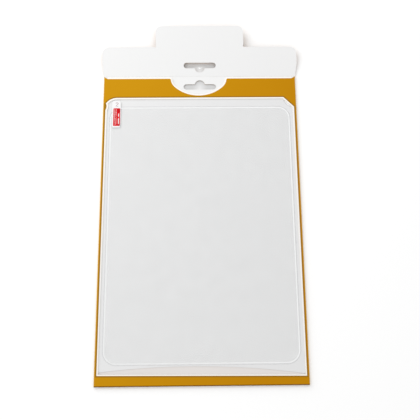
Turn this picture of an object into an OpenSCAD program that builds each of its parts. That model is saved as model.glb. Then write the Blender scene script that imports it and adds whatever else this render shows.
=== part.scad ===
// Tablet screen protector, carded in a folded hanging wallet whose top flap stands open.
// Millimetres. The wallet lies on its back: X across, Y towards the flap, Z up out of the front.
// Every module works from the bottom fold at Y = 0, and lay_on_base() moves the origin to the
// middle of the whole outline.

/* [Wallet] */
// Width of the folded wallet
wallet_w = 187; // [184:1:200]
// Length from the bottom fold to the crease of the top flap
wallet_l = 293.5; // [290:1:310]
// Thickness of the folding board
card_t = 0.5; // [0.4:0.05:0.7]
// Clear depth between the back panel and the front panel
inside_h = 0.75; // [0.6:0.05:2]
// Outside radius of the long folds
fold_r = 0.8; // [0.5:0.1:1]
// Distance from the crease down to the front panel's top edge
front_setback = 3; // [2.6:0.1:5]
// Distance from the crease down to the top of the side walls
side_setback = 0.8; // [0.7:0.1:2]
// Width of the slope where the front panel's top edge rises to each side wall
corner_rise_w = 3.6; // [3:0.1:6]
// Gap left for the turning root of the flap
crease_gap = 0.1; // [0.1:0.05:0.3]
// Width of the side flaps that are folded round and glued to the back
glue_w = 14; // [10:1:20]
// Distance from each end of the wallet to the side flaps
glue_end = 4; // [3:1:8]
// Length over which the ends of the side flaps slope
glue_taper = 10; // [6:1:14]

/* [Window] */
// Width of the front panel's side rails
rail_w = 2.4; // [2:0.1:4]
// Height of the band below the window, at its middle
bottom_band = 8.6; // [6:0.1:9]
// How much higher the band is at its left end than at its middle, and lower at its right end
bottom_skew = 0.8; // [0:0.1:1]
// Height of the band above the window
top_band = 20.1; // [19:0.1:22]
// Chamfer of the window's top right corner
window_chamfer = 10; // [6:0.5:14]
// Radius of the window's top left corner
window_corner_r = 13; // [12:0.5:16]
// Length of the top edge that the top left corner takes up
window_corner_run = 11.1; // [8:0.1:11.5]
// Radius of the small nib on the left rail, below the round corner
nib_r = 7.5; // [4:0.5:10]
// How far the nib stands into the window
nib_h = 1; // [0.5:0.1:1.6]
// Distance from the window's top edge down to the nib's middle
nib_drop = 8.8; // [6:0.1:14]

/* [Thumb notch] */
// Half width of the thumb notch in the front panel
notch_half_w = 27.2; // [22:0.2:32]
// Depth of the thumb notch
notch_depth = 18; // [15:0.5:18]
// Radius of the notch's two sides
notch_side_r = 12; // [8:0.5:13]
// Sideways place of the notch's middle
notch_x = -1.1; // [-3:0.1:3]
// Radius of the two lips where the notch meets the top edge
notch_lip_r = 1.2; // [0.5:0.1:3]

/* [Hanging slots] */
// Length of the slot's bar
slot_w = 31.5; // [28:0.5:34]
// Height of the slot's bar
slot_h = 5.8; // [5:0.1:6.4]
// Radius of the hump for a single peg
hump_r = 4.9; // [4:0.1:5.5]
// Height of the hump above the bar
hump_rise = 4.2; // [3:0.1:5]
// Distance from the crease to the middle of each slot
slot_from_crease = 11.2; // [11:0.1:12.5]

/* [Top flap] */
// Angle at which the opened flap stands off the surface
flap_raise = 8; // [1:0.5:15]
// How far the flap stands past each side of the wallet, at the crease
root_overhang = 0.3; // [0:0.1:1]
// How far the flap stands past each side of the wallet, where it is widest
flap_overhang = 2.2; // [1:0.1:5]
// Length over which the flap widens
flap_flare_l = 14; // [8:1:20]
// Distance from the crease to the shoulders' edge
shoulder_l = 30.1; // [28:0.1:36]
// Radius of the shoulders' corners
shoulder_r = 7; // [3:0.5:8]
// Distance from the crease to the end of the tongue
tongue_l = 51.8; // [45:0.1:60]
// Width of the tongue
tongue_w = 86.5; // [70:0.5:110]
// Radius of the tongue's corners
tongue_r = 6; // [3:0.5:10]

/* [Backing sheet] */
// Thickness of the backing sheet
sheet_t = 0.35; // [0.3:0.05:0.5]
// Clearance between the sheet and each side wall
sheet_fit = 0.3; // [0.2:0.1:0.6]
// Distance from the bottom fold to the sheet's lowest corner
sheet_bottom = 9.5; // [9:0.1:12]
// Height of the arch in the sheet's bottom edge
sheet_arch = 7.3; // [3:0.1:8]
// Sideways place of the arch's top
arch_x = -9.5; // [-15:0.5:15]
// Distance from the crease to the sheet's top edge
sheet_setback = 20; // [18:0.1:21]
// Radius of the hollow cut out of the sheet's top right corner
sheet_cut_r = 9.8; // [7:0.1:11]

/* [Glass protector] */
// Distance from the glass to each side of the window
glass_side_gap = 3.9; // [3:0.1:10]
// Distance from the glass to each end of the window
glass_end_gap = 9; // [8:0.1:16]
// Thickness of the glass
glass_t = 0.4; // [0.3:0.05:0.5]
// Corner radius of the glass
glass_r = 12.4; // [8:0.1:18]
// Width of the ground edge round the front of the glass
bevel_w = 2; // [0.5:0.1:2.5]
// Height of the ground edge
bevel_h = 0.25; // [0.1:0.05:0.28]
// Thickness of the release liner under the glass
liner_t = 0.1; // [0.05:0.05:0.15]
// Thickness of the film over the glass
film_t = 0.1; // [0.05:0.05:0.15]

/* [Pull tab] */
// Width of the white pull tab
tab_w = 8.4; // [8:0.2:12]
// Length of the pull tab
tab_l = 27.7; // [20:0.1:34]
// Thickness of the pull tab
tab_t = 0.12; // [0.08:0.02:0.14]
// Corner radius of the pull tab
tab_r = 2; // [1:0.1:3]
// Distance from the glass's left edge to the tab's middle
tab_inset = 6.7; // [5:0.1:14]
// Length of the tab that stands past the glass's top edge
tab_over = 5.9; // [5:0.1:9]
// Width of the tab's red field
label_w = 6.6; // [4:0.1:6.8]
// Length of the red field
label_l = 18.3; // [12:0.1:18.5]
// Corner radius of the red field
label_r = 0.8; // [0.3:0.1:1.5]
// Distance of the red field's middle to the right of the tab's middle
label_shift = 0.4; // [0:0.1:0.5]
// Thickness of the printed field
label_t = 0.06; // [0.04:0.02:0.08]
// Distance from the tab's lower end to the red field
label_inset = 1.7; // [1:0.1:2.5]
// Width of the plain white bars left open in the red field
bar_w = 0.8; // [0.5:0.1:1]
// Length of the two long bars
long_bar_l = 16.3; // [10:0.1:16.8]
// Sideways place of the middle between the two long bars
long_bars_x = -1.4; // [-2:0.1:0]
// Distance between the two long bars' middles
long_bar_pitch = 1.5; // [1.2:0.1:2]
// Sideways place of the two short bars
short_bars_x = 1.8; // [1:0.1:2.4]
// Distance from the field's lower end to the lower short bar
short_bar_start = 2; // [1:0.1:4]
// Length of the lower short bar
short_bar_l = 5.9; // [3:0.1:7]
// Gap between the two short bars
short_bar_gap = 1.7; // [1:0.1:3]
// Length of the upper short bar
upper_bar_l = 3.2; // [2:0.1:5]

/* [Hidden] */
$fn = 96;
ARC_FN = 720;
EPS = 1;
mustard = "#c98f16";
board_white = "#f4f3f0";
sheet_grey = "#e6e6e6";
film_clear = [0.93, 0.95, 0.96, 0.25];
glass_clear = [0.86, 0.93, 0.93, 0.35];
tab_white = "#fbfbfb";
tab_red = "#c8102a";

// Heights of the layers, from the surface up
back_z = card_t;
inside_z = back_z + card_t;
front_z = inside_z + inside_h;
wallet_h = front_z + card_t;
sheet_z = inside_z;
liner_z = sheet_z + sheet_t;
glass_z = liner_z + liner_t;
film_z = glass_z + glass_t;
tab_z = film_z + film_t;
label_z = tab_z + tab_t;

// Places along the wallet
inner_w = wallet_w - 2 * card_t;
front_top = wallet_l - front_setback;
side_top = wallet_l - side_setback;
back_top = wallet_l - card_t / 2 - crease_gap;
window_w = wallet_w - 2 * rail_w;
window_top = front_top - top_band;
slot_y = wallet_l - slot_from_crease;
flap_root_w = wallet_w + 2 * root_overhang;
flap_w = wallet_w + 2 * flap_overhang;
glass_w = window_w - 2 * glass_side_gap;
glass_l = window_top - bottom_band - 2 * glass_end_gap;
glass_y = (bottom_band + window_top) / 2;
glass_top = glass_y + glass_l / 2;
sheet_w = inner_w - 2 * sheet_fit;
sheet_top = wallet_l - sheet_setback;

// The crease, at mid thickness of the back panel, and the end of the raised tongue
crease_z = back_z + card_t / 2;
tongue_end = wallet_l + tongue_l * cos(flap_raise) + card_t / 2 * sin(flap_raise);

module lay_on_base() {
    translate([0, -tongue_end / 2, 0]) children();
}

// Flat rectangle, centred, with four round corners
module rounded_plate(w, l, r) {
    square([w - 2 * r, l], center = true);
    square([w, l - 2 * r], center = true);
    for (sx = [-1, 1], sy = [-1, 1])
        translate([sx * (w / 2 - r), sy * (l / 2 - r)]) circle(r);
}

// Flat strip from y = 0 to y = l, with its two far corners round
module round_ended_strip(w, l, r) {
    translate([-w / 2, 0]) square([w, l - r]);
    translate([-w / 2 + r, 0]) square([w - 2 * r, l]);
    for (sx = [-1, 1]) translate([sx * (w / 2 - r), l - r]) circle(r);
}

// Hanging slot: a bar with round ends and a hump towards +Y
module hanging_slot() {
    square([slot_w - slot_h, slot_h], center = true);
    for (sx = [-1, 1]) translate([sx * (slot_w - slot_h) / 2, 0]) circle(slot_h / 2);
    translate([0, slot_h / 2 + hump_rise - hump_r]) circle(hump_r);
}

// Thumb notch: a half oval of three arcs, hanging down from y = 0
module thumb_notch() {
    side_x = notch_half_w - notch_side_r;
    base_r = (side_x * side_x + notch_depth * notch_depth - notch_side_r * notch_side_r)
        / (2 * (notch_depth - notch_side_r));
    base_y = base_r - notch_depth;
    reach = 4;
    for (sx = [-1, 1]) translate([sx * side_x, 0]) circle(notch_side_r);
    intersection() {
        translate([0, base_y]) circle(base_r);
        polygon([[0, base_y], [-reach * side_x, base_y - reach * base_y],
                 [reach * side_x, base_y - reach * base_y]]);
    }
    translate([-notch_half_w, 0]) square([2 * notch_half_w, front_setback]);
    for (sx = [-1, 1]) notch_lip(sx);
}

// Rounds one lip of the notch over into the top edge
module notch_lip(sx) {
    difference() {
        translate([sx * notch_half_w, 0])
            square(2 * notch_lip_r, center = true);
        translate([sx * (notch_half_w + notch_lip_r), -notch_lip_r]) circle(notch_lip_r);
        translate([sx * (notch_half_w + 2 * notch_lip_r), -notch_lip_r])
            square(2 * notch_lip_r, center = true);
        translate([sx * (notch_half_w + notch_lip_r), -2 * notch_lip_r])
            square(2 * notch_lip_r, center = true);
    }
}

// Window: one chamfered corner and one round corner at the top, and a slightly skewed bottom edge
module window_outline() {
    half = window_w / 2;
    difference() {
        polygon([[-half, bottom_band + bottom_skew], [half, bottom_band - bottom_skew],
                 [half, window_top], [-half, window_top]]);
        translate([nib_h - nib_r - half, window_top - nib_drop]) circle(nib_r);
        polygon([[half - window_chamfer, window_top], [half, window_top],
                 [half, window_top - window_chamfer]]);
        difference() {
            translate([-half, window_top - window_corner_r])
                square([window_corner_run, window_corner_r]);
            translate([window_corner_run - half, window_top - window_corner_r])
                circle(window_corner_r);
        }
    }
}

// Cross-section of the folded wallet, with its four long folds round
module fold_section() {
    translate([0, wallet_h / 2]) rounded_plate(wallet_w, wallet_h, fold_r);
}

// Side view of the wallet: round bottom folds, and side walls that slope down to the crease
module side_section() {
    difference() {
        union() {
            translate([fold_r, back_z]) square([back_top - fold_r, wallet_h - back_z]);
            translate([0, back_z + fold_r]) square([fold_r, wallet_h - back_z - 2 * fold_r]);
            translate([fold_r, back_z + fold_r]) circle(fold_r);
            translate([fold_r, wallet_h - fold_r]) circle(fold_r);
            translate([glue_end, 0]) square([wallet_l - 2 * glue_end, back_z]);
        }
        polygon([[side_top, wallet_h], [wallet_l, wallet_h], [wallet_l, inside_z],
                 [back_top, inside_z]]);
    }
}

// Side flap that is folded round and glued to the back, with sloping ends
module glue_flap(sx) {
    edge = wallet_w / 2;
    polygon([[sx * edge, glue_end], [sx * (edge - glue_w), glue_end + glue_taper],
             [sx * (edge - glue_w), wallet_l - glue_end - glue_taper],
             [sx * edge, wallet_l - glue_end]]);
}

// Part of the front panel that is cut away above its top edge
module front_top_cut() {
    half = inner_w / 2;
    rise = front_setback - side_setback;
    slope_x = wallet_w / 2 - corner_rise_w;
    at_wall = front_top + rise * (half - slope_x) / corner_rise_w;
    polygon([[-slope_x, front_top], [slope_x, front_top], [half, at_wall],
             [half, wallet_l + EPS], [-half, wallet_l + EPS], [-half, at_wall]]);
}

module wallet() {
    color(mustard) lay_on_base() difference() {
        intersection() {
            translate([0, wallet_l, 0]) rotate([90, 0, 0])
                linear_extrude(wallet_l) fold_section();
            translate([-wallet_w / 2, 0, 0]) rotate([90, 0, 90])
                linear_extrude(wallet_w) side_section();
        }
        translate([-inner_w / 2, card_t, inside_z]) cube([inner_w, wallet_l, inside_h]);
        translate([0, 0, -EPS]) linear_extrude(EPS + back_z) difference() {
            translate([-wallet_w, -EPS]) square([2 * wallet_w, wallet_l + 2 * EPS]);
            glue_flap(-1);
            glue_flap(1);
        }
        translate([0, 0, inside_z + inside_h / 2]) linear_extrude(wallet_h) {
            window_outline();
            front_top_cut();
            translate([notch_x, front_top]) thumb_notch();
        }
        translate([0, slot_y, -EPS]) linear_extrude(inside_z + 2 * EPS) hanging_slot();
    }
}

// Outline of the opened flap: shoulders that widen from the crease, and a central tongue
module flap_outline() {
    difference() {
        union() {
            polygon([[-flap_root_w / 2, 0], [flap_root_w / 2, 0],
                     [flap_w / 2, flap_flare_l], [-flap_w / 2, flap_flare_l]]);
            translate([0, flap_flare_l])
                round_ended_strip(flap_w, shoulder_l - flap_flare_l, shoulder_r);
            translate([0, flap_flare_l])
                round_ended_strip(tongue_w, tongue_l - flap_flare_l, tongue_r);
        }
        translate([0, slot_from_crease]) mirror([0, 1]) hanging_slot();
    }
}

module top_flap() {
    color(board_white) lay_on_base()
        translate([0, wallet_l, crease_z]) rotate([flap_raise, 0, 0]) {
            translate([0, 0, -card_t / 2]) linear_extrude(card_t) flap_outline();
            rotate([0, 90, 0]) cylinder(r = card_t / 2, h = flap_root_w, center = true);
        }
}

// Stiff sheet behind the glass, arched at the bottom and hollowed at one top corner
module backing_sheet() {
    half = sheet_w / 2;
    reach = half + abs(arch_x);
    arch_r = (reach * reach + sheet_arch * sheet_arch) / (2 * sheet_arch);
    color(sheet_grey) lay_on_base() translate([0, 0, sheet_z]) linear_extrude(sheet_t)
        difference() {
            translate([-half, sheet_bottom]) square([sheet_w, sheet_top - sheet_bottom]);
            translate([arch_x, sheet_bottom + sheet_arch - arch_r])
                circle(arch_r, $fn = ARC_FN);
            translate([window_w / 2, window_top]) circle(sheet_cut_r);
        }
}

// Release liner under the glass
module adhesive_liner() {
    color(film_clear) lay_on_base() translate([0, glass_y, liner_z])
        linear_extrude(liner_t) rounded_plate(glass_w, glass_l, glass_r);
}

// Glass with a ground edge round its front
module glass_pane() {
    color(glass_clear) lay_on_base() translate([0, glass_y, glass_z]) hull() {
        linear_extrude(glass_t - bevel_h) rounded_plate(glass_w, glass_l, glass_r, $fn = 48);
        linear_extrude(glass_t)
            rounded_plate(glass_w - 2 * bevel_w, glass_l - 2 * bevel_w, glass_r - bevel_w, $fn = 48);
    }
}

// Thin film that covers the front of the glass inside its ground edge
module cover_film() {
    color(film_clear) lay_on_base() translate([0, glass_y, film_z]) linear_extrude(film_t)
        rounded_plate(glass_w - 2 * bevel_w, glass_l - 2 * bevel_w, glass_r - bevel_w);
}

// Moves from the tab's lower end to its place on the glass's top left corner
module at_tab(z) {
    translate([tab_inset - glass_w / 2, glass_top + tab_over - tab_l, z]) children();
}

module pull_tab() {
    color(tab_white) lay_on_base() at_tab(tab_z) linear_extrude(tab_t)
        translate([0, tab_l / 2]) rounded_plate(tab_w, tab_l, tab_r);
}

// One plain bar, x to the side and y up from the field's lower end
module label_bar(x, y, l) {
    translate([x - bar_w / 2, y]) square([bar_w, l]);
}

// Plain bars that stand for the print on the tab: two long ones, and two short ones in line
module label_bars() {
    for (sx = [-1, 1])
        label_bar(long_bars_x + sx * long_bar_pitch / 2, (label_l - long_bar_l) / 2, long_bar_l);
    label_bar(short_bars_x, short_bar_start, short_bar_l);
    label_bar(short_bars_x, short_bar_start + short_bar_l + short_bar_gap, upper_bar_l);
}

// Red field on the tab, with its bars left open to the white below
module tab_label() {
    color(tab_red) lay_on_base() at_tab(label_z) linear_extrude(label_t)
        translate([label_shift, label_inset]) difference() {
            translate([0, label_l / 2]) rounded_plate(label_w, label_l, label_r);
            label_bars();
        }
}

wallet();
top_flap();
backing_sheet();
adhesive_liner();
glass_pane();
cover_film();
pull_tab();
tab_label();
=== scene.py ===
# %% [markdown]
# # A glass tablet protector in its hanging wallet
#
# The object lies on a white table: a flat wallet of folded board, printed mustard outside and
# left white inside, with its top flap open. Behind a large window lie a grey-white sheet, the
# glass protector with its bright ground edge, and a small red and white pull tab.
#
# The exact solids come from the CAD model, so this script loads them first and never moves
# them. What is added here is the look: finishes for every solid, the glass and its films with
# clean gaps between them, the pale rim that a die leaves on cut board, and plain dashes and a
# numeral on the tab.

# %% Load the solids and keep their box
import math

import bmesh
import bpy
from mathutils import Euler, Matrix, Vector


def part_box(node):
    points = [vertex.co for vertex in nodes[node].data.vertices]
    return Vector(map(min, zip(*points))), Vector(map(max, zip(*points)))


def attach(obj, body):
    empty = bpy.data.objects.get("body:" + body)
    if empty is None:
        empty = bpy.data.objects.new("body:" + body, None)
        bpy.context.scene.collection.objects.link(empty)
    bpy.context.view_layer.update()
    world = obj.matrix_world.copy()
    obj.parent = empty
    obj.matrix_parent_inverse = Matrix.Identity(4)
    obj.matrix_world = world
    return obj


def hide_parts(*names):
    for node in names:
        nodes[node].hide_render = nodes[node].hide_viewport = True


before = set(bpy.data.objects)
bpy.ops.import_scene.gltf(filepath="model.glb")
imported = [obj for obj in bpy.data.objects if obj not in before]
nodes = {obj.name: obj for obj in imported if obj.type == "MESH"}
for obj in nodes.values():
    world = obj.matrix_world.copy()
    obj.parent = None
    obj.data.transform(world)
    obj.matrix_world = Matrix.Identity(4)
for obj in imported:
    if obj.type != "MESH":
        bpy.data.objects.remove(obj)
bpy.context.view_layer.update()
print("solids:", sorted(nodes))

# %% [markdown]
# Everything is in metres. Board is thin and the layers in the wallet are thinner still, so the
# script speaks of millimetres through one small constant, and reads the places of the layers
# from the solids' own boxes.

# %% Read the sizes that the pieces need
MM = 0.001
wallet_low, wallet_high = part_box("wallet")
sheet_low, sheet_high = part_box("backing_sheet")
glass_low, glass_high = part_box("glass_pane")
film_low, film_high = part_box("cover_film")
liner_low, liner_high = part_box("adhesive_liner")
tab_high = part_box("pull_tab")[1]
label_low, label_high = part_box("tab_label")
flap_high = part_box("top_flap")[1]
front_face = wallet_high.z
inside_floor = sheet_low.z
card = inside_floor / 2
print("heights in mm: back panel's inside", round(inside_floor / MM, 2), "front panel's face",
      round(front_face / MM, 2), "flap's raised edge", round(flap_high.z / MM, 2))

# %% [markdown]
# A finish is a small tree of shader nodes. A few helpers keep each tree short to read. The
# first of them start a tree, fill a socket and mix two shaders, and one puts a new object in
# the scene.

# %% Helpers that build trees and objects
def blank_tree(name):
    """A new material with only an output in its tree, as (material, tree, output)."""
    material = bpy.data.materials.new(name)
    material.use_nodes = True
    tree = material.node_tree
    tree.nodes.clear()
    return material, tree, tree.nodes.new("ShaderNodeOutputMaterial")


def finish_tree(name):
    """A new material with a Principled shader, as (material, tree, shader)."""
    material, tree, output = blank_tree(name)
    shader = tree.nodes.new("ShaderNodeBsdfPrincipled")
    tree.links.new(shader.outputs["BSDF"], output.inputs["Surface"])
    return material, tree, shader


def feed(tree, socket, value):
    """Puts a number, a colour or another node's output into a socket."""
    if isinstance(value, bpy.types.NodeSocket):
        tree.links.new(value, socket)
    else:
        socket.default_value = value


def mix_shaders(tree, factor, first, second):
    """The first shader where the factor is 0 and the second where it is 1."""
    mix = tree.nodes.new("ShaderNodeMixShader")
    for socket, source in zip(mix.inputs, (factor, first, second)):
        tree.links.new(source, socket)
    return mix.outputs[0]


def new_object(name, data):
    piece = bpy.data.objects.new(name, data)
    bpy.context.scene.collection.objects.link(piece)
    return piece


print("helpers for trees and objects ready")

# %% [markdown]
# A comparison gives a mask, which is 1 on one part of the surface and 0 on the rest. Masks are
# joined by multiplying them or by taking the larger one, and a mask can choose between two
# colours.

# %% Helpers for sums and masks
def maths(tree, operation, first, second=0.0):
    node = tree.nodes.new("ShaderNodeMath")
    node.operation = operation
    feed(tree, node.inputs[0], first)
    feed(tree, node.inputs[1], second)
    return node.outputs[0]


def above(tree, value, limit):
    return maths(tree, "GREATER_THAN", value, limit)


def below(tree, value, limit):
    return maths(tree, "LESS_THAN", value, limit)


def both(tree, *masks):
    """A mask that holds where every given mask holds."""
    result = masks[0]
    for mask in masks[1:]:
        result = maths(tree, "MULTIPLY", result, mask)
    return result


def either(tree, *masks):
    """A mask that holds where any given mask holds."""
    result = masks[0]
    for mask in masks[1:]:
        result = maths(tree, "MAXIMUM", result, mask)
    return result


def opposite(tree, mask):
    return maths(tree, "SUBTRACT", 1.0, mask)


def fade(tree, offset, reach):
    """1 where the offset is 0, falling to 0 at the given reach."""
    share = maths(tree, "DIVIDE", maths(tree, "ABSOLUTE", offset), reach)
    return maths(tree, "MAXIMUM", opposite(tree, share), 0.0)


def blend(tree, mask, low, high):
    """Colour low where the mask is 0 and colour high where it is 1."""
    node = tree.nodes.new("ShaderNodeMix")
    node.data_type = "RGBA"
    feed(tree, node.inputs["Factor"], mask)
    feed(tree, node.inputs["A"], low)
    feed(tree, node.inputs["B"], high)
    return node.outputs["Result"]


def shade(colour, factor):
    """A colour made lighter or darker, with its fourth value kept at 1."""
    return tuple(c * factor for c in colour[:3]) + (1.0,)


print("helpers for masks ready")

# %% [markdown]
# The last helpers say where on the piece the shader is looking, and add the unevenness that
# every real surface has: soft noise in the colour, and a relief far too small to model.

# %% Helpers for place, noise and relief
def place_of(tree):
    """The point on the object, its x, y and z, and the surface's direction there."""
    coordinates = tree.nodes.new("ShaderNodeTexCoord")
    point = tree.nodes.new("ShaderNodeSeparateXYZ")
    tree.links.new(coordinates.outputs["Object"], point.inputs[0])
    facing = tree.nodes.new("ShaderNodeSeparateXYZ")
    tree.links.new(coordinates.outputs["Normal"], facing.inputs[0])
    return coordinates.outputs["Object"], point.outputs, facing.outputs


def across_width(tree, point, half_width):
    """0 at the left edge of a piece of the given half width, and 1 at its right edge."""
    return maths(tree, "ADD", maths(tree, "MULTIPLY", point["X"], 0.5 / half_width), 0.5)


def distance_from(tree, point, centre):
    """The way from a centre, as its x and y parts and its length."""
    from_x = maths(tree, "SUBTRACT", point["X"], centre[0])
    from_y = maths(tree, "SUBTRACT", point["Y"], centre[1])
    squares = [maths(tree, "MULTIPLY", part, part) for part in (from_x, from_y)]
    return from_x, from_y, maths(tree, "SQRT", maths(tree, "ADD", *squares))


def noise(tree, place, scale, detail=3.0, roughness=0.5):
    node = tree.nodes.new("ShaderNodeTexNoise")
    feed(tree, node.inputs["Vector"], place)
    node.inputs["Scale"].default_value = scale
    node.inputs["Detail"].default_value = detail
    node.inputs["Roughness"].default_value = roughness
    return node.outputs["Fac"]


def spread(tree, value, low, high):
    """Stretches a 0 to 1 value to the range low to high."""
    node = tree.nodes.new("ShaderNodeMapRange")
    feed(tree, node.inputs["Value"], value)
    node.inputs["To Min"].default_value = low
    node.inputs["To Max"].default_value = high
    return node.outputs["Result"]


def relief(tree, shader, height, depth):
    """Turns a height value into small relief on the shader, depth metres deep."""
    bump = tree.nodes.new("ShaderNodeBump")
    bump.inputs["Strength"].default_value = 1.0
    bump.inputs["Distance"].default_value = depth
    tree.links.new(height, bump.inputs["Height"])
    tree.links.new(bump.outputs["Normal"], shader.inputs["Normal"])


print("helpers for place and noise ready")

# %% [markdown]
# ## Printed board
#
# The wallet is one sheet of white board, printed mustard on one side, then cut and folded. So
# one solid shows three finishes: print outside, bare white board inside, and the pale core
# wherever the die cut through. They could be three separate skins, but the solid is exact as it
# is, so the shader works out from the place and the direction of the surface which of the
# three it is looking at.

# %% Colours of the board
MUSTARD = (0.60, 0.285, 0.003, 1.0)
MUSTARD_DARKER = (0.53, 0.224, 0.001, 1.0)
MUSTARD_THIN = shade(MUSTARD, 1.2)
BOARD_WHITE = (0.895, 0.895, 0.893, 1.0)
BOARD_SHADED = (0.80, 0.757, 0.732, 1.0)
BOARD_PAINTED_LIGHT = (0.985, 0.985, 0.98, 1.0)
CORE = (0.93, 0.905, 0.86, 1.0)
BURNISHED = (0.29, 0.145, 0.012, 1.0)
FOLD_SHADE = (0.21, 0.09, 0.003, 1.0)
RUBBED = (0.86, 0.70, 0.40, 1.0)
UPRIGHT = 0.5  # a face is upright where its direction's z is smaller than this


def board_grain(tree, place):
    """Fine fibre of pressed board: two sizes of soft noise."""
    coarse = noise(tree, place, scale=900.0, detail=4.0, roughness=0.55)
    fine = noise(tree, place, scale=5200.0, detail=2.0, roughness=0.5)
    return maths(tree, "ADD", maths(tree, "MULTIPLY", coarse, 0.6),
                 maths(tree, "MULTIPLY", fine, 0.4))


print("board colours ready")

# %% [markdown]
# The die also marks the print beside each cut, so the finish has to know where the window is.
# It is a rectangle with three departures: its top left corner is round, its top right corner
# is cut off straight, and its bottom edge runs a little askew. Each edge gives a mask, and the
# window is where all of them hold.

# %% Where the window's edge runs
RAIL_WIDTH = 2.4 * MM
WINDOW_HALF = wallet_high.x - RAIL_WIDTH
WINDOW_TOP = wallet_low.y + 270.4 * MM
WINDOW_BOTTOM = wallet_low.y + 8.6 * MM
BOTTOM_SKEW = 0.8 * MM
ROUND_RADIUS = 13.0 * MM
ROUND_RUN = 11.1 * MM
ROUND_CENTRE = (-WINDOW_HALF + ROUND_RUN, WINDOW_TOP - ROUND_RADIUS)
CHAMFER = 10.0 * MM
DIAGONAL = 1.41  # how far x + y grows on the way straight across an edge at 45 degrees


def near_window(tree, point, width):
    """A mask over the window and a band of the given width round it."""
    skew = maths(tree, "MULTIPLY", point["X"], BOTTOM_SKEW / WINDOW_HALF)
    low_edge = maths(tree, "ADD", point["Y"], skew)
    sides = below(tree, maths(tree, "ABSOLUTE", point["X"]), WINDOW_HALF + width)
    top = below(tree, point["Y"], WINDOW_TOP + width)
    bottom = above(tree, low_edge, WINDOW_BOTTOM - width)
    slope = maths(tree, "ADD", point["X"], point["Y"])
    cut = below(tree, slope, WINDOW_HALF + WINDOW_TOP - CHAMFER + DIAGONAL * width)
    from_x, from_y, reach = distance_from(tree, point, ROUND_CENTRE)
    beyond = both(tree, below(tree, from_x, 0.0), above(tree, from_y, 0.0),
                  above(tree, reach, ROUND_RADIUS + width))
    return both(tree, sides, top, bottom, cut, opposite(tree, beyond))


print("window in mm: half width", round(WINDOW_HALF / MM, 1), "top", round(WINDOW_TOP / MM, 1))

# %% [markdown]
# Print wears in known places. The die burnishes it dark beside the cut, and where the long
# folds are rubbed the ink breaks and pale board shows through in flecks. Along the bottom fold
# the ink
# is made darker still: painted shade, where the fold turns away from the light. The ink also
# grows darker to the right and lower down, as painted shade of the lamp's falloff, with uneven
# clouds.

# %% Ink of the wallet
BURNISH_WIDTH = 1.25 * MM
FOLD_SHADE_WIDTH = 0.85 * MM
RUB_WIDTH = 0.45 * MM
FLECK_LEVEL = 0.42
PAINTED_LIGHT_UPWARD = -1.5
CLOUDS = 0.15
# How far each kind of wear, and the painted shade at the bottom fold, hides the ink under it
BURNISH_COVER = 0.75
FOLD_SHADE_COVER = 0.95
RUB_COVER = 0.8


def ink_wear_and_painted_shade(tree, place, point, grain):
    """Mustard ink, darker to the right and below as painted shade, worn by the die and the side
    folds, with painted shade along the bottom fold.
    """
    cloud = noise(tree, place, scale=38.0, detail=3.0, roughness=0.6)
    flecks = noise(tree, place, scale=1500.0, detail=4.0, roughness=0.7)
    # Painted shade: the ink darkens to the right and lower down, as the lamp's light falls off;
    # the clouds are uneven ink.
    depth = maths(tree, "ADD", across_width(tree, point, wallet_high.x),
                  spread(tree, cloud, -CLOUDS, CLOUDS))
    depth = maths(tree, "ADD", depth, maths(tree, "MULTIPLY", point["Y"], PAINTED_LIGHT_UPWARD))
    ink = blend(tree, depth, MUSTARD, MUSTARD_DARKER)
    ink = blend(tree, spread(tree, grain, 0.0, 0.1), ink, MUSTARD_THIN)
    burnished = both(tree, near_window(tree, point, BURNISH_WIDTH),
                     above(tree, point["Z"], front_face - card / 2))
    ink = blend(tree, maths(tree, "MULTIPLY", burnished, BURNISH_COVER), ink, BURNISHED)
    # Painted shade along the bottom fold, which turns away from the light.
    fold_shaded = below(tree, point["Y"], wallet_low.y + FOLD_SHADE_WIDTH)
    ink = blend(tree, maths(tree, "MULTIPLY", fold_shaded, FOLD_SHADE_COVER), ink, FOLD_SHADE)
    by_fold = above(tree, maths(tree, "ABSOLUTE", point["X"]), wallet_high.x - RUB_WIDTH)
    rubbed = both(tree, by_fold, above(tree, flecks, FLECK_LEVEL))
    return blend(tree, maths(tree, "MULTIPLY", rubbed, RUB_COVER), ink, RUBBED)


print("print worn over", round(BURNISH_WIDTH / MM, 2), "mm beside the window")

# %% [markdown]
# Bare board is plain white. The strip below the sheet lies deep in the wallet and is painted
# browner: painted shade, warmed as by light bounced off the print. The board by the window's
# cut
# corner is painted whiter: painted light that offsets the shade in that corner.

# %% Printed board for the wallet
SHADED_LENGTH = 20 * MM
PAINTED_LIGHT_BELOW = 20 * MM
PAINTED_LIGHT_ABOVE = 2 * MM


def bare_board(tree, point, grain):
    """The white side of the board inside the wallet, with painted shade near the bottom and
    painted light by the cut corner.
    """
    # Painted shade on the strip below the sheet.
    near_bottom = below(tree, point["Y"], sheet_low.y + SHADED_LENGTH)
    bare = blend(tree, near_bottom, BOARD_WHITE, BOARD_SHADED)
    bare = blend(tree, spread(tree, grain, 0.0, 0.3), bare, shade(BOARD_WHITE, 0.93))
    # Painted light by the window's cut corner, offsetting the shade in that recess.
    by_cut_corner = both(tree, above(tree, point["X"], 0.0),
                         above(tree, point["Y"], WINDOW_TOP - PAINTED_LIGHT_BELOW),
                         below(tree, point["Y"], WINDOW_TOP + PAINTED_LIGHT_ABOVE))
    return blend(tree, by_cut_corner, bare, BOARD_PAINTED_LIGHT)


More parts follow.
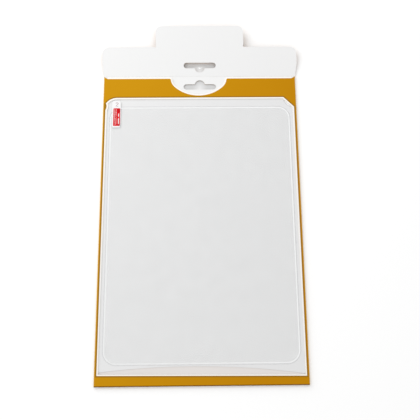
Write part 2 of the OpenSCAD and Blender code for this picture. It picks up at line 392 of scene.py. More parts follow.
def unprinted(tree, point, facing):
    """Masks over the wallet's inside and over the core at its cuts."""
    upright = below(tree, maths(tree, "ABSOLUTE", facing["Z"]), UPRIGHT)
    within_sides = below(tree, maths(tree, "ABSOLUTE", point["X"]), wallet_high.x - card / 2)
    past_bottom = above(tree, point["Y"], wallet_low.y + card / 2)
    above_back = above(tree, point["Z"], inside_floor - card / 2)
    under_front = below(tree, point["Z"], front_face - card / 2)
    inside = both(tree, within_sides, past_bottom, above_back, under_front)
    cut_through = both(tree, upright, within_sides, past_bottom)
    cut_top = both(tree, above(tree, facing["Y"], UPRIGHT),
                   above(tree, point["Z"], inside_floor))
    return inside, either(tree, cut_through, cut_top)


def make_printed_board():
    material, tree, shader = finish_tree("printed_board")
    place, point, facing = place_of(tree)
    grain = board_grain(tree, place)
    inside, core = unprinted(tree, point, facing)
    colour = blend(tree, inside, ink_wear_and_painted_shade(tree, place, point, grain),
                   bare_board(tree, point, grain))
    feed(tree, shader.inputs["Base Color"], blend(tree, core, colour, CORE))
    feed(tree, shader.inputs["Roughness"], spread(tree, grain, 0.42, 0.58))
    shader.inputs["Specular IOR Level"].default_value = 0.05
    relief(tree, shader, grain, 0.012 * MM)
    return material


printed_board = make_printed_board()
print("made", printed_board.name, "with", len(printed_board.node_tree.nodes), "shader nodes")

# %% [markdown]
# The opened flap is the same blank seen from its white side. Its underside carries the mustard
# print, and its cut edges show the core. The flap's own faces lean back a little, so the split
# between the two sides is made on the direction of the surface and not on height.

# %% White board for the flap
def make_white_board():
    material, tree, shader = finish_tree("white_board")
    place, _, facing = place_of(tree)
    grain = board_grain(tree, place)
    cloud = noise(tree, place, scale=24.0, detail=2.0, roughness=0.5)
    bare = blend(tree, spread(tree, cloud, 0.0, 0.6), BOARD_WHITE, shade(BOARD_WHITE, 0.975))
    bare = blend(tree, spread(tree, grain, 0.0, 0.25), bare, shade(BOARD_WHITE, 0.95))
    ink = blend(tree, spread(tree, cloud, 0.0, 1.0), MUSTARD, MUSTARD_DARKER)
    ink = blend(tree, spread(tree, grain, 0.0, 0.15), ink, MUSTARD_THIN)
    colour = blend(tree, below(tree, facing["Z"], -UPRIGHT), bare, ink)
    cut = below(tree, maths(tree, "ABSOLUTE", facing["Z"]), UPRIGHT)
    feed(tree, shader.inputs["Base Color"], blend(tree, cut, colour, CORE))
    feed(tree, shader.inputs["Roughness"], spread(tree, grain, 0.6, 0.78))
    shader.inputs["Specular IOR Level"].default_value = 0.25
    relief(tree, shader, grain, 0.015 * MM)
    return material


white_board = make_white_board()
print("made", white_board.name)

# %% [markdown]
# ## The sheet behind the glass
#
# A stiff grey-white sheet fills the wallet. It is smoother than the board, with a faint cloudy
# mottle that only shows over a large area. Its colour grows a little darker from left to right,
# as painted shade of the lamp's falloff. Its trimmed corner, beside the window's cut one, has a
# painted shadow along the cut.

# %% Paper for the sheet
SHEET = (0.83, 0.83, 0.832, 1.0)
SHEET_CUT_RADIUS = 9.8 * MM
CUT_SHADOW_WIDTH = 0.8 * MM
CUT_SHADOW_SHADE = 0.86


def make_sheet_paper():
    material, tree, shader = finish_tree("sheet_paper")
    place, point, _ = place_of(tree)
    cloud = noise(tree, place, scale=30.0, detail=5.0, roughness=0.6)
    fibre = noise(tree, place, scale=2600.0, detail=3.0, roughness=0.55)
    across = across_width(tree, point, sheet_high.x)
    # Painted shade: a little darker towards the right, where the lamp's light falls off.
    colour = blend(tree, across, shade(SHEET, 1.01), shade(SHEET, 0.965))
    colour = blend(tree, spread(tree, cloud, 0.0, 0.6), colour, shade(SHEET, 0.96))
    colour = blend(tree, spread(tree, fibre, 0.0, 0.3), colour, shade(SHEET, 0.95))
    # Painted shadow along the cut of the sheet's trimmed corner.
    _, _, reach = distance_from(tree, point, (WINDOW_HALF, WINDOW_TOP))
    cut_shadow = below(tree, reach, SHEET_CUT_RADIUS + CUT_SHADOW_WIDTH)
    colour = blend(tree, cut_shadow, colour, shade(SHEET, CUT_SHADOW_SHADE))
    feed(tree, shader.inputs["Base Color"], colour)
    feed(tree, shader.inputs["Roughness"], spread(tree, fibre, 0.5, 0.66))
    shader.inputs["Specular IOR Level"].default_value = 0.3
    relief(tree, shader, fibre, 0.006 * MM)
    return material


sheet_paper = make_sheet_paper()
print("made", sheet_paper.name)

# %% [markdown]
# ## Clear layers
#
# The glass, the film over it and the liner under it are clear, and each lies flat on the next.
# Where they are stuck together light passes as if they were one plate, so only a face that
# meets the air bends and mirrors it. Light on its way from a lamp goes straight through:
# computing how a flat plate focuses it would cost much time and change nothing.

# %% Clear finishes
GLASS_IOR = 1.5
STRAIGHT_ON = 1.0
POLISH = 0.02


def let_light_through(tree, shader, tint):
    """Shows the shader to the eye, but lets light on its way to other surfaces pass."""
    output = next(n for n in tree.nodes if n.type == "OUTPUT_MATERIAL")
    passing = tree.nodes.new("ShaderNodeBsdfTransparent")
    passing.inputs["Color"].default_value = tint
    path = tree.nodes.new("ShaderNodeLightPath")
    looking = either(tree, path.outputs["Is Camera Ray"], path.outputs["Is Transmission Ray"])
    mixed = mix_shaders(tree, looking, passing.outputs[0], shader.outputs[0])
    tree.links.new(mixed, output.inputs["Surface"])


def make_clear(name, tint, meets_air, mottle_scale):
    """A clear face: true glass to the eye, and open to the light that falls through it."""
    material, tree, _ = blank_tree(name)
    kind = "ShaderNodeBsdfGlass" if meets_air else "ShaderNodeBsdfRefraction"
    clear = tree.nodes.new(kind)
    clear.inputs["IOR"].default_value = GLASS_IOR if meets_air else STRAIGHT_ON
    clear.inputs["Roughness"].default_value = POLISH if meets_air else 0.0
    mottle = noise(tree, place_of(tree)[0], mottle_scale)
    feed(tree, clear.inputs["Color"], blend(tree, mottle, tint, shade(tint, 0.99)))
    let_light_through(tree, clear, tint)
    return material


clear_glass = make_clear("clear_glass", (0.990, 0.992, 0.991, 1.0), True, 60.0)
clear_film = make_clear("clear_film", (0.998, 0.998, 0.998, 1.0), True, 90.0)
clear_bond = make_clear("clear_bond", (0.999, 0.999, 0.999, 1.0), False, 90.0)
clear_rim = make_clear("clear_rim", (0.94, 0.942, 0.943, 1.0), False, 200.0)
print("made", clear_glass.name, clear_film.name, clear_bond.name, clear_rim.name)

# %% [markdown]
# The edge of the glass is ground and then polished round, over about two millimetres. The
# outermost part bends light away from the eye and shows as a thin dark line, and a slightly
# darker clear finish stands for it here. Next to it the frosted part scatters light and shows
# as a bright line, which gets a finish of its own. Together they are the feature that makes a
# clear protector visible at all.

# %% Frosted ground edge
FROST_PAINTED_SHADE = (0.885, 0.89, 0.89, 1.0)
FROST_PAINTED_LIGHT = (0.975, 0.98, 0.98, 1.0)
FROST_GREY = (0.88, 0.885, 0.89, 1.0)
FROST_TINT = (0.97, 0.97, 0.97, 1.0)


def make_ground_edge():
    material, tree, shader = finish_tree("ground_edge")
    place, point, _ = place_of(tree)
    frost = noise(tree, place, scale=4200.0, detail=3.0, roughness=0.6)
    # The frost runs from darker at the left to lighter at the right: painted shade and painted
    # light that even out the lamp at the left.
    colour = blend(tree, across_width(tree, point, glass_high.x), FROST_PAINTED_SHADE, FROST_PAINTED_LIGHT)
    colour = blend(tree, spread(tree, frost, 0.0, 0.5), colour, FROST_GREY)
    feed(tree, shader.inputs["Base Color"], colour)
    feed(tree, shader.inputs["Roughness"], spread(tree, frost, 0.35, 0.6))
    shader.inputs["Specular IOR Level"].default_value = 0.2
    relief(tree, shader, frost, 0.01 * MM)
    let_light_through(tree, shader, FROST_TINT)
    return material


ground_edge = make_ground_edge()
print("made", ground_edge.name)

# %% [markdown]
# ## Tab finishes
#
# The pull tab is white label stock, slightly glossy, with a red printed field. Ink is never
# perfectly even, so the red has a faint mottle, and it is laid on solid only at the two ends
# of the field's right column.

# %% White stock and red print
TAB_WHITE = (0.92, 0.92, 0.925, 1.0)
RED = (0.60, 0.001, 0.005, 1.0)
RED_THIN = (0.76, 0.010, 0.018, 1.0)
TAB_INK = (0.42, 0.24, 0.25, 1.0)
COLUMN_LEFT = 0.9 * MM
SOLID_TOP = 4.5 * MM
SOLID_BOTTOM = 2.5 * MM
label_middle = (label_low + label_high) / 2


def solid_ink(tree, point):
    """A mask over the two ends of the red field's right column."""
    return both(tree, above(tree, point["X"], label_middle.x + COLUMN_LEFT),
                either(tree, above(tree, point["Y"], label_high.y - SOLID_TOP),
                       below(tree, point["Y"], label_low.y + SOLID_BOTTOM)))


def make_tab_finish(name, colour, depth_of_mottle, roughness, thin=None):
    """Tab stock or ink. Where a thin colour is given, it is for the ink among the dashes."""
    material, tree, shader = finish_tree(name)
    place, point, _ = place_of(tree)
    mottle = noise(tree, place, scale=1400.0, detail=3.0, roughness=0.55)
    ink = blend(tree, spread(tree, mottle, 0.0, 1.0), colour, shade(colour, depth_of_mottle))
    if thin:
        ink = blend(tree, solid_ink(tree, point), blend(tree, mottle, thin, shade(thin, 0.9)),
                    ink)
    feed(tree, shader.inputs["Base Color"], ink)
    feed(tree, shader.inputs["Roughness"], spread(tree, mottle, roughness, roughness + 0.12))
    shader.inputs["Specular IOR Level"].default_value = 0.12
    relief(tree, shader, mottle, 0.004 * MM)
    return material


tab_white = make_tab_finish("tab_white", TAB_WHITE, 0.97, 0.35)
tab_red = make_tab_finish("tab_red", RED, 0.85, 0.45, RED_THIN)
tab_ink = make_tab_finish("tab_ink", TAB_INK, 0.8, 0.5)
print("made", tab_white.name, tab_red.name, tab_ink.name)

# %% [markdown]
# ## Dress the solids
#
# The board, the sheet and the tab keep their exact solids. Only their finish is swapped, which
# leaves the mesh untouched.

# %% Give the solids their finishes
FINISHES = {"wallet": printed_board, "top_flap": white_board, "backing_sheet": sheet_paper,
            "pull_tab": tab_white, "tab_label": tab_red}


def dress(node_name, material):
    slots = nodes[node_name].material_slots
    for slot in slots:
        slot.material = material
    if not slots:
        nodes[node_name].data.materials.append(material)


for node_name, material in FINISHES.items():
    dress(node_name, material)
print("dressed", len(FINISHES), "solids")

# %% [markdown]
# ## The glass and its films
#
# In the CAD model the liner, the glass and the film lie face on face. Clear faces that share
# one plane flicker when they are rendered, because a ray can't tell which it meets first. So
# each clear layer is built here as a piece of its own, a hair thinner than its solid, and
# stands in for it. All three are plates with round corners, made by stacking outlines.

# %% Build a plate from stacked outlines
CORNER_STEPS = 16
CLEAR_FINISHES = (clear_glass, clear_film, clear_bond, clear_rim, ground_edge)
GLASS, FILM, BOND, RIM, FROST = range(len(CLEAR_FINISHES))


def round_outline(centre, half_x, half_y, radius):
    """Points of a rectangle with round corners, counter-clockwise, as (x, y)."""
    points = []
    for corner, (sx, sy) in enumerate([(1, 1), (-1, 1), (-1, -1), (1, -1)]):
        middle = Vector((centre.x + sx * (half_x - radius), centre.y + sy * (half_y - radius)))
        for step in range(CORNER_STEPS + 1):
            angle = math.radians(90 * corner + 90 * step / CORNER_STEPS)
            points.append(middle + radius * Vector((math.cos(angle), math.sin(angle))))
    return points


def stacked_plate(name, outlines, finishes):
    """A closed plate through (points, height) outlines from below up.

    The finishes are one for the underside, one for each band between two outlines, and one
    for the top.
    """
    mesh = bpy.data.meshes.new(name)
    bm = bmesh.new()
    rings = [[bm.verts.new((p.x, p.y, z)) for p in points] for points, z in outlines]
    bm.faces.new(reversed(rings[0])).material_index = finishes[0]
    bm.faces.new(rings[-1]).material_index = finishes[-1]
    count = len(rings[0])
    for band, (low, high) in enumerate(zip(rings, rings[1:])):
        for i in range(count):
            j = (i + 1) % count
            face = bm.faces.new((low[i], low[j], high[j], high[i]))
            face.material_index = finishes[band + 1]
    bmesh.ops.triangulate(bm, faces=[f for f in bm.faces if len(f.verts) > 4])
    bmesh.ops.recalc_face_normals(bm, faces=bm.faces)
    bm.to_mesh(mesh)
    bm.free()
    for material in CLEAR_FINISHES:
        mesh.materials.append(material)
    return new_object(name, mesh)


print("plate builder ready")

# %% [markdown]
# The glass is a stack of five outlines. The lowest two are its upright side, and the others
# step inwards and up to its face, which makes the rounded ground edge. The film is cut back by
# the width of that edge, and the liner is as wide as the glass.

# %% Glass, film and liner
SKIN = 0.01 * MM
GLASS_RADIUS = 12.4 * MM
EDGE_WIDTH = 2.0 * MM
# How far each outline of the ground edge is set in, and how far it lies below the face
GROUND_EDGE = [(0.0, 0.25 * MM), (0.75 * MM, 0.12 * MM), (1.05 * MM, 0.08 * MM),
               (EDGE_WIDTH, 0.0)]


def inset_outline(inset):
    """The outline of the glass, set in by the given width."""
    centre = (glass_low + glass_high) / 2
    return round_outline(centre, (glass_high.x - glass_low.x) / 2 - inset,
                         (glass_high.y - glass_low.y) / 2 - inset, GLASS_RADIUS - inset)


def build_glass():
    top = glass_high.z - SKIN
    levels = [(inset_outline(0.0), glass_low.z + SKIN)]
    levels += [(inset_outline(inset), top - drop) for inset, drop in GROUND_EDGE]
    return stacked_plate("glass_plate", levels, [BOND, RIM, RIM, BOND, FROST, GLASS])


def build_clear_sheet(name, low, high, inset, top):
    outline = inset_outline(inset)
    levels = [(outline, low.z + SKIN), (outline, high.z - SKIN)]
    return stacked_plate(name, levels, [BOND, BOND, top])


glass_plate = build_glass()
film_sheet = build_clear_sheet("film_sheet", film_low, film_high, EDGE_WIDTH, FILM)
liner_sheet = build_clear_sheet("liner_sheet", liner_low, liner_high, 0.0, BOND)
for piece, node_name, slot_name in [(glass_plate, "glass_pane", "pane_glass"),
                                    (film_sheet, "cover_film", "clear_film"),
                                    (liner_sheet, "adhesive_liner", "clear_film")]:
    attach(piece, "wallet")
    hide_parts(node_name)
print("glass plate:", len(glass_plate.data.polygons), "faces")

# %% [markdown]
# ## The pale rim of the cut board
#
# A die that cuts printed board crushes its edge, so a thin pale line of bare core frames the
# window, the thumb notch and the top of the front panel. It follows a path, and Geometry Nodes
# are made for that. First the cut edges are picked off the wallet's own mesh and moved a
# little into the openings.

# %% Pick the cut edges off the wallet
RIM_SHIFT = 0.4 * MM
RIM_WELD = 0.3 * MM
PANEL_TOP = wallet_low.y + 290.6 * MM
SAME_POINT = 0.001 * MM
SAME_HEIGHT = 0.01 * MM
WALL_SLOPE = 0.3
FACE_SLOPE = 0.95


def slope_of(face):
    """0 for an upright face and 1 for a level one."""
    return abs(face.normal.z)


def is_cut(edge):
    """Whether the edge lies between the front panel's face and a cut wall."""
    on_face = all(abs(v.co.z - front_face) < SAME_HEIGHT and v.co.y < PANEL_TOP
                  for v in edge.verts)
    if not on_face or len(edge.link_faces) != 2:
        return False
    steep, level = sorted(slope_of(face) for face in edge.link_faces)
    return steep < WALL_SLOPE and level > FACE_SLOPE


def cut_edge_lines():
    """The front panel's sharp edges, moved into the openings, and their length.

    The two corners that rise to the crease are left out, because the flap folds past them.
    The shift would turn the shortest edges round, at the notch's lips, and fold the strip over
    itself, so points that come very close are joined.
    """
    bm = bmesh.new()
    bm.from_mesh(nodes["wallet"].data)
    bmesh.ops.remove_doubles(bm, verts=bm.verts, dist=SAME_POINT)
    bm.normal_update()
    lines = bmesh.new()
    made = {}
    for edge in filter(is_cut, bm.edges):
        wall = min(edge.link_faces, key=slope_of)
        for v in edge.verts:
            if v.index not in made:
                made[v.index] = [lines.verts.new(v.co), Vector()]
            made[v.index][1] += wall.normal
        lines.edges.new([made[v.index][0] for v in edge.verts])
    for vertex, towards in made.values():
        vertex.co += Vector((towards.x, towards.y, 0)).normalized() * RIM_SHIFT
        vertex.co.z = 0
    bmesh.ops.remove_doubles(lines, verts=lines.verts, dist=RIM_WELD)
    mesh = bpy.data.meshes.new("cut_rim")
    lines.to_mesh(mesh)
    total = sum(edge.calc_length() for edge in lines.edges)
    lines.free()
    bm.free()
    return new_object("cut_rim", mesh), total


cut_rim, rim_length = cut_edge_lines()
print("cut edges:", len(cut_rim.data.edges), "edges,", round(rim_length * 1000), "mm long")

# %% [markdown]
# Two pieces are made with Geometry Nodes, the rim here and the dashes on the tab below. Both
# need a tree with a named input for each of their sizes, which ends by making plain mesh of
# all it holds and giving it one material. Then the tree is run on a piece, and its result is
# kept as that piece's mesh.

# %% Helpers for Geometry Nodes
def nodes_tree(name, sizes):
    """A tree with a named input for each size, as (tree, input node, output node)."""
    tree = bpy.data.node_groups.new(name, "GeometryNodeTree")
    for in_out in ("INPUT", "OUTPUT"):
        tree.interface.new_socket("Geometry", in_out=in_out,
                                  socket_type="NodeSocketGeometry")
    for size, value in sizes.items():
        kind = "NodeSocketInt" if isinstance(value, int) else "NodeSocketFloat"
        socket = tree.interface.new_socket(size, in_out="INPUT", socket_type=kind)
        socket.default_value = value
    return tree, tree.nodes.new("NodeGroupInput"), tree.nodes.new("NodeGroupOutput")


def send_out(tree, geometry, material, outward):
    """Ends a tree: plain mesh with one material, sent to the output."""
    realize = tree.nodes.new("GeometryNodeRealizeInstances")
    paint = tree.nodes.new("GeometryNodeSetMaterial")
    paint.inputs["Material"].default_value = material
    tree.links.new(geometry, realize.inputs[0])
    tree.links.new(realize.outputs[0], paint.inputs["Geometry"])
    tree.links.new(paint.outputs[0], outward.inputs["Geometry"])


def run_nodes(piece, tree, sizes, body):
    """Runs a tree on a piece with the named sizes, and keeps the result as a plain mesh."""
    modifier = piece.modifiers.new(tree.name, "NODES")
    modifier.node_group = tree
    for item in tree.interface.items_tree:
        if item.in_out == "INPUT" and item.name in sizes:
            modifier[item.identifier] = sizes[item.name]
    graph = bpy.context.evaluated_depsgraph_get()
    made = bpy.data.meshes.new_from_object(piece.evaluated_get(graph))
    piece.modifiers.remove(modifier)
    piece.data = made
    made.name = piece.name
    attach(piece, body)
    return piece


print("node helpers ready")

# %% [markdown]
# The rim's tree turns the edges into curves and sweeps a flat-topped strip with softened
# corners along them. A round bead would be simpler, but its top would catch the light as a
# thin bright line, and cut board is flat and evenly pale.

# %% Sweep a flat-topped strip along them
RIM_SIZES = {"Width": 2.2 * MM, "Thickness": 0.86 * MM, "Rounding": 0.12 * MM,
             "Height": front_face - 0.45 * MM}
CORNER_CUTS = 2
FRESH_CORE = (0.995, 0.97, 0.915, 1.0)


def strip_tree(material, sizes):
    """Flat mesh edges in, a strip of the given size along them out, at a height."""
    tree, inward, outward = nodes_tree("strip along edges", sizes)
    make = tree.nodes.new
    link = tree.links.new
    to_curve = make("GeometryNodeMeshToCurve")
    upright = make("GeometryNodeSetCurveNormal")
    upright.mode = "Z_UP"
    section = make("GeometryNodeCurvePrimitiveQuadrilateral")
    soften = make("GeometryNodeFilletCurve")
    soften.mode = "POLY"
    soften.inputs["Count"].default_value = CORNER_CUTS
    soften.inputs["Limit Radius"].default_value = True
    sweep = make("GeometryNodeCurveToMesh")
    sweep.inputs["Fill Caps"].default_value = True
    raised, lift = make("GeometryNodeTransform"), make("ShaderNodeCombineXYZ")
    link(inward.outputs["Geometry"], to_curve.inputs["Mesh"])
    link(inward.outputs["Width"], section.inputs["Width"])
    link(inward.outputs["Thickness"], section.inputs["Height"])
    link(inward.outputs["Rounding"], soften.inputs["Radius"])
    link(to_curve.outputs[0], upright.inputs["Curve"])
    link(section.outputs["Curve"], soften.inputs["Curve"])
    link(upright.outputs[0], sweep.inputs["Curve"])
    link(soften.outputs[0], sweep.inputs["Profile Curve"])
    link(inward.outputs["Height"], lift.inputs["Z"])
    link(sweep.outputs[0], raised.inputs["Geometry"])
    link(lift.outputs[0], raised.inputs["Translation"])
    send_out(tree, raised.outputs[0], material, outward)
    return tree


def make_core_finish():
    material, tree, shader = finish_tree("bare_core")
    fibre = noise(tree, place_of(tree)[0], scale=3000.0, detail=3.0, roughness=0.6)
    feed(tree, shader.inputs["Base Color"],
         blend(tree, spread(tree, fibre, 0.0, 0.5), FRESH_CORE, CORE))
    shader.inputs["Roughness"].default_value = 0.7
    shader.inputs["Specular IOR Level"].default_value = 0.2
    relief(tree, shader, fibre, 0.02 * MM)
    return material


bare_core = make_core_finish()
run_nodes(cut_rim, strip_tree(bare_core, RIM_SIZES), RIM_SIZES, "wallet")
rim_heights = [v.co.z for v in cut_rim.data.vertices]
print("rim from", round(min(rim_heights) / MM, 2), "to", round(max(rim_heights) / MM, 2), "mm")
print("rim:", len(cut_rim.data.polygons), "faces")

# %% [markdown]
# ## Dashes and a numeral on the tab
#
# Short plain dashes of uneven length run down the left half of the red field in two columns.
# They are one small box, set on the points of a grid and stretched at random with a fixed
# seed, so every run gives the same ones. They cross the white bars that the label leaves open.

# %% Rows of plain dashes
DASH_SIZES = {"Columns": 2, "Rows": 27, "Field width": 1.5 * MM, "Field length": 15.6 * MM,
              "Dash": 0.8 * MM, "Seed": 7}
DASH_HEIGHT = 0.016 * MM
DASH_SINK = 0.01 * MM
DASH_LEFT = 1.4 * MM
SMALLEST = (0.7, 0.25, 1.0)
LARGEST = (1.3, 0.6, 1.0)


def dash_tree(material, sizes):
    """A grid of small flat dashes, each stretched between the smallest and the largest."""
    tree, inward, outward = nodes_tree("rows of dashes", sizes)
    make = tree.nodes.new
    link = tree.links.new
    grid = make("GeometryNodeMeshGrid")
    points = make("GeometryNodeMeshToPoints")
    dash = make("GeometryNodeMeshCube")
    size = make("ShaderNodeCombineXYZ")
    size.inputs["Z"].default_value = DASH_HEIGHT
    stretch = make("FunctionNodeRandomValue")
    stretch.data_type = "FLOAT_VECTOR"
    stretch.inputs[0].default_value = SMALLEST
    stretch.inputs[1].default_value = LARGEST
    place = make("GeometryNodeInstanceOnPoints")
    link(inward.outputs["Field width"], grid.inputs["Size X"])
    link(inward.outputs["Field length"], grid.inputs["Size Y"])
    link(inward.outputs["Columns"], grid.inputs["Vertices X"])
    link(inward.outputs["Rows"], grid.inputs["Vertices Y"])
    link(grid.outputs["Mesh"], points.inputs["Mesh"])
    link(inward.outputs["Dash"], size.inputs["X"])
    link(inward.outputs["Dash"], size.inputs["Y"])
    link(size.outputs[0], dash.inputs["Size"])
    link(inward.outputs["Seed"], stretch.inputs["Seed"])
    link(points.outputs[0], place.inputs["Points"])
    link(dash.outputs["Mesh"], place.inputs["Instance"])
    link(stretch.outputs[0], place.inputs["Scale"])
    send_out(tree, place.outputs[0], material, outward)
    return tree


dash_rows = new_object("dash_rows", bpy.data.meshes.new("dash_rows"))
run_nodes(dash_rows, dash_tree(tab_red, DASH_SIZES), DASH_SIZES, "wallet")
shift = Vector((label_middle.x - DASH_LEFT, label_middle.y, label_high.z - DASH_SINK))
for vertex in dash_rows.data.vertices:
    vertex.co += shift
print("dashes:", len(dash_rows.data.polygons), "faces")

# %% [markdown]
# A plain numeral marks the tab's head. A text object would bring a typeface with it, so the
# figure is a flat ribbon along a few points: a bowl, a slope and a foot.

# %% A plain numeral in strokes
FIGURE_SIZE = 3.6 * MM
STROKE_WIDTH = 0.5 * MM
STROKE_HEIGHT = 0.02 * MM


def ribbon_sides(points, width):
    """Two points beside each given one, half a width to either side of the way along."""
    sides = []
    for i, p in enumerate(points):
        before, after = points[max(i - 1, 0)], points[min(i + 1, len(points) - 1)]
        along = (after - before).normalized()
        across = Vector((-along.y, along.x)) * width / 2
        sides.append((p + across, p - across))
    return sides


def stroke_figure(name, points, width, height, base, material):
    """A flat ribbon through the given points, width wide and height thick."""
    mesh = bpy.data.meshes.new(name)
    bm = bmesh.new()
    low, high = [[[bm.verts.new((side.x, side.y, z)) for side in pair]
                  for pair in ribbon_sides(points, width)] for z in (base, base + height)]
    for i in range(len(points) - 1):
        bm.faces.new((high[i][0], high[i][1], high[i + 1][1], high[i + 1][0]))
        bm.faces.new((low[i][0], low[i + 1][0], low[i + 1][1], low[i][1]))
        for side in (0, 1):
            bm.faces.new((low[i][side], low[i + 1][side], high[i + 1][side], high[i][side]))
    for end in (0, -1):
        bm.faces.new((low[end][0], low[end][1], high[end][1], high[end][0]))
    bmesh.ops.recalc_face_normals(bm, faces=bm.faces)
    bm.to_mesh(mesh)
    bm.free()
    mesh.materials.append(material)
    figure = new_object(name, mesh)
    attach(figure, "wallet")
    return figure


def numeral_points(centre, size):
    """The points of a plain 2, placed in shares of its size."""
    bowl = [centre + size * Vector((0.32 * math.cos(a), 0.25 + 0.28 * math.sin(a)))
            for a in (math.radians(170 - 20 * i) for i in range(10))]
    foot = [centre + size * Vector(p) for p in ((-0.32, -0.5), (0.36, -0.5))]
    return bowl + foot


head_middle = Vector((label_middle.x, (label_high.y + tab_high.y) / 2))
numeral = stroke_figure("tab_numeral", numeral_points(head_middle, FIGURE_SIZE), STROKE_WIDTH,
                        STROKE_HEIGHT, tab_high.z, tab_ink)
print("numeral:", len(numeral.data.polygons), "faces")

# %% [markdown]
# ## Floor, light and camera
#
# The photograph has a plain white ground that is lit until it just clips, with soft shadows
# only to the right of the wallet and below it. So a bright even sky does most of the work, and
# one lamp at the upper left adds the direction. The floor looks a little brighter to the
# camera than it is to the object.
#
# The two hanging slots are the exception: the ground seen through them is plain grey, and that
# grey is painted shade on the floor. Under the wallet the floor is painted grey by place alone.
# The flap stands off the floor, so grey below its slot would also show from behind it, and
# there an Ambient Occlusion node keeps it to the part that the flap covers.

# %% Painted shade on the floor under the slots
SLOT_HALF = 17.5 * MM
ZONE_LOW = wallet_high.y - 25 * MM
ZONE_HIGH = wallet_high.y + 20 * MM
WALLET_END = wallet_high.y - 1 * MM
FLAP_START = wallet_high.y + 4.9 * MM
BACK_HUMP_TOP = wallet_high.y - 4.5 * MM
FLAP_SLOT_TOP = wallet_high.y + 15.3 * MM
COVER_REACH = 5 * MM
COVER_SAMPLES = 48
COVERED = 0.985
SLOT_SHADE = 0.66
CENTRE_REACH = 7 * MM
BACK_GAIN = 26.0
FLAP_GAIN = 20.0
TOP_REACH = 3 * MM
TOP_GAIN = 0.5


def slot_zone(tree, point, beyond_wallet):
    """A mask over the floor that shows through the two slots."""
    cover = tree.nodes.new("ShaderNodeAmbientOcclusion")
    cover.inputs["Distance"].default_value = COVER_REACH
    cover.samples = COVER_SAMPLES
    near_slots = both(tree, below(tree, maths(tree, "ABSOLUTE", point["X"]), SLOT_HALF),
                      above(tree, point["Y"], ZONE_LOW), below(tree, point["Y"], ZONE_HIGH))
    under_flap = both(tree, above(tree, point["Y"], FLAP_START),
                      below(tree, cover.outputs["AO"], COVERED))
    return both(tree, near_slots, either(tree, opposite(tree, beyond_wallet), under_flap))


def painted_slot_shade(tree, point, beyond_wallet):
    """The painted shade there: grey, paler at each hump and along the far side of the flap's
    slot.
    """
    centre = fade(tree, point["X"], CENTRE_REACH)
    back_low = maths(tree, "SUBTRACT", BACK_HUMP_TOP, point["Y"])
    back_grey = maths(tree, "ADD", SLOT_SHADE, both(tree, centre, back_low, BACK_GAIN))
    flap_low = maths(tree, "SUBTRACT", FLAP_SLOT_TOP, point["Y"])
    by_top = both(tree, fade(tree, flap_low, TOP_REACH), TOP_GAIN)
    flap_grey = maths(tree, "ADD", SLOT_SHADE, by_top)
    flap_grey = maths(tree, "ADD", flap_grey, both(tree, centre, flap_low, FLAP_GAIN))
    return maths(tree, "ADD", both(tree, beyond_wallet, flap_grey),
                 both(tree, opposite(tree, beyond_wallet), back_grey))


print("grey zone from", round(ZONE_LOW / MM, 1), "to", round(ZONE_HIGH / MM, 1), "mm")

# %% [markdown]
# The floor is one large square, and its finish is made of two answers. Light that bounces off
# it towards the object meets plain pale grey, and a ray from the camera sees white with a
# little more added, which lifts the ground to where the photograph clips. It lies a hair below
# the wallet, so that the two never share one plane.

# %% Floor
FLOOR_HALF = 2.0
FLOOR_DROP = 0.05 * MM
FLOOR_EXTRA = (0.07, 0.07, 0.07, 1.0)
FLOOR_BOUNCE = (0.8, 0.8, 0.8, 1.0)
WHITE = (1.0, 1.0, 1.0, 1.0)
BLACK = (0.0, 0.0, 0.0, 1.0)


def make_floor_finish():
    material, tree, output = blank_tree("table_white")
    point = place_of(tree)[1]
    beyond_wallet = above(tree, point["Y"], WALLET_END)
    under = slot_zone(tree, point, beyond_wallet)
    grey = painted_slot_shade(tree, point, beyond_wallet)
    plain, seen, extra = (tree.nodes.new("ShaderNodeBsdfDiffuse") for _ in range(3))
    plain.inputs["Color"].default_value = FLOOR_BOUNCE
    # Painted shade: the floor seen under the slots is grey.
    feed(tree, seen.inputs["Color"], blend(tree, under, WHITE, grey))
    feed(tree, extra.inputs["Color"], blend(tree, under, FLOOR_EXTRA, BLACK))
    total = tree.nodes.new("ShaderNodeAddShader")
    tree.links.new(seen.outputs[0], total.inputs[0])
    tree.links.new(extra.outputs[0], total.inputs[1])
    looking = tree.nodes.new("ShaderNodeLightPath").outputs["Is Camera Ray"]
    mixed = mix_shaders(tree, looking, plain.outputs[0], total.outputs[0])
    tree.links.new(mixed, output.inputs["Surface"])
    return material


def make_floor():
    mesh = bpy.data.meshes.new("table_top")
    corners = [(-1, -1), (1, -1), (1, 1), (-1, 1)]
    mesh.from_pydata([(x * FLOOR_HALF, y * FLOOR_HALF, -FLOOR_DROP) for x, y in corners],
                     [], [(0, 1, 2, 3)])
    mesh.materials.append(make_floor_finish())
    floor = new_object("table_top", mesh)
    return floor


print("floor:", make_floor().name, "half a side", FLOOR_HALF, "m")

# %% [markdown]
# The sky is white all round, as in a room with pale walls. What is seen of it directly, or
# mirrored in the glass, is full white. Its light on the object is a little weaker, which
# leaves room for the lamp.

# %% Sky
SKY_FILL = 0.825
SKY_SEEN = 1.0


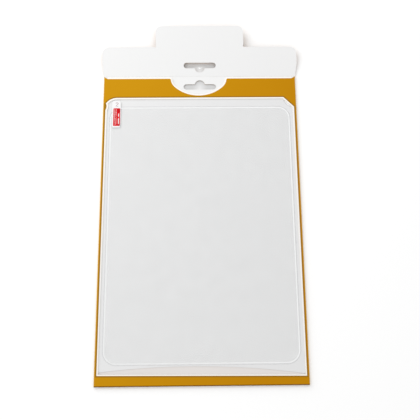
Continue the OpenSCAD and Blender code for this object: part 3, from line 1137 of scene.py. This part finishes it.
def make_sky():
    world = bpy.data.worlds.new("white_room")
    world.use_nodes = True
    tree = world.node_tree
    tree.nodes.clear()
    output = tree.nodes.new("ShaderNodeOutputWorld")
    fill, seen = (tree.nodes.new("ShaderNodeBackground") for _ in range(2))
    for shader, strength in ((fill, SKY_FILL), (seen, SKY_SEEN)):
        shader.inputs["Color"].default_value = WHITE
        shader.inputs["Strength"].default_value = strength
    path = tree.nodes.new("ShaderNodeLightPath")
    direct = either(tree, path.outputs["Is Camera Ray"], path.outputs["Is Glossy Ray"],
                    path.outputs["Is Transmission Ray"])
    mixed = mix_shaders(tree, direct, fill.outputs[0], seen.outputs[0])
    tree.links.new(mixed, output.inputs["Surface"])
    bpy.context.scene.world = world
    return world


print("sky:", make_sky().name)

# %% [markdown]
# One broad lamp stands beyond the upper left corner of the picture, a third of the way up. A
# broad lamp gives the wallet the soft shadow edges of a window or a softbox.

# %% Lamp
LAMP_DISTANCE = 0.8
LAMP_AZIMUTH = 138.0
LAMP_ELEVATION = 33.0
LAMP_SIZE = 0.7
LAMP_POWER = 2.36


def make_lamp():
    light = bpy.data.lights.new("window_light", "AREA")
    light.shape = "DISK"
    light.size = LAMP_SIZE
    light.energy = LAMP_POWER
    lamp = new_object("window_light", light)
    azimuth, elevation = math.radians(LAMP_AZIMUTH), math.radians(LAMP_ELEVATION)
    direction = Vector((math.cos(azimuth) * math.cos(elevation),
                        math.sin(azimuth) * math.cos(elevation), math.sin(elevation)))
    lamp.location = direction * LAMP_DISTANCE
    lamp.rotation_euler = direction.to_track_quat("Z", "Y").to_euler()
    return lamp


print("lamp:", make_lamp().name, LAMP_ELEVATION, "degrees above the floor")

# %% [markdown]
# The camera stands where the photograph was taken from. Its place and turn were worked out
# from the wallet's straight edges: almost overhead, above the bottom edge of the wallet,
# looking a little towards the flap. That makes the wallet's sides spread towards the viewer.

# %% Camera
CAMERA_PLACE = (0.00027, -0.17364, 0.58203)
CAMERA_TURN = (15.28345, -0.65094, -0.62736)
LENS_MM = 55.714
SENSOR_MM = 36.0
NEAREST = 0.01


def make_camera():
    data = bpy.data.cameras.new("photo_camera")
    data.lens = LENS_MM
    data.sensor_width = SENSOR_MM
    data.clip_start = NEAREST
    camera = new_object("photo_camera", data)
    camera.location = CAMERA_PLACE
    camera.rotation_euler = Euler([math.radians(a) for a in CAMERA_TURN], "XYZ")
    bpy.context.scene.camera = camera
    return camera


print("camera:", make_camera().name, "lens", LENS_MM, "mm")
bpy.context.scene.view_settings.view_transform = "Standard"
